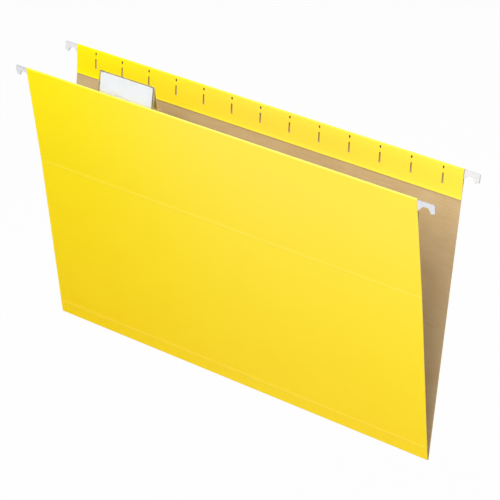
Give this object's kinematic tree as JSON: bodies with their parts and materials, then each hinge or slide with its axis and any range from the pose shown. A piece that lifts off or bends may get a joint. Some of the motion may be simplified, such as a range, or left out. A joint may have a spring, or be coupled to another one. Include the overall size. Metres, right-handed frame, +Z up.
{
  "type": "hanging file folder",
  "caption": "Legal-size hanging file folder, opened to a V: yellow board with a kraft inside, hooked steel rods in glued hems, and a clear tab with a blank card.",
  "frame": {"origin": "on the lowest line of the bottom fold, midway between the side edges and between the two hem tops", "axes": "+X along the rods, to the right seen from the front; +Y from the front panel to the rear panel; +Z up"},
  "size_m": [0.4033, 0.063, 0.2533],
  "materials": {
    "yellow_board": "satin",
    "steel_strip": "satin",
    "white_coat": "satin",
    "hem_glue": "matte",
    "clear_plastic": "gloss",
    "white_card": "matte"
  },
  "bodies": {
    "rear_half": {"rear_panel": "yellow_board", "rear_hem": "yellow_board", "rear_gusset_strip": "yellow_board", "rear_hem_glue": "hem_glue", "rear_rod": "steel_strip", "rear_left_tip": "white_coat", "rear_right_tip": "white_coat", "bottom_fold": "yellow_board"},
    "front_lower": {"front_panel_lower": "yellow_board", "front_gusset_strip": "yellow_board"},
    "front_upper": {"front_panel_upper": "yellow_board", "front_hem": "yellow_board", "front_hem_glue": "hem_glue", "front_rod": "steel_strip", "front_left_tip": "white_coat", "front_right_tip": "white_coat"},
    "tab": {"tab_holder": "clear_plastic"},
    "card": {"tab_insert": "white_card"}
  },
  "joints": [
    {"name": "bottom_swing", "type": "hinge", "parent": "rear_half", "child": "front_lower", "pos_m": [0, 0, 0.0008], "axis": [1, 0, 0], "range_deg": [-12, 160], "deforming": ["bottom_fold"]},
    {"name": "mid_fold", "type": "hinge", "parent": "front_lower", "child": "front_upper", "pos_m": [0, -0.01893, 0.15061], "axis": [1, 0, 0], "range_deg": [0, 140]},
    {"name": "tab_lift", "type": "slide", "parent": "front_upper", "child": "tab", "axis": [0, -0.146, 0.9893], "range_m": [0, 0.004]},
    {"name": "card_slide", "type": "slide", "parent": "tab", "child": "card", "axis": [1, 0, 0], "range_m": [0, 0.056]}
  ]
}
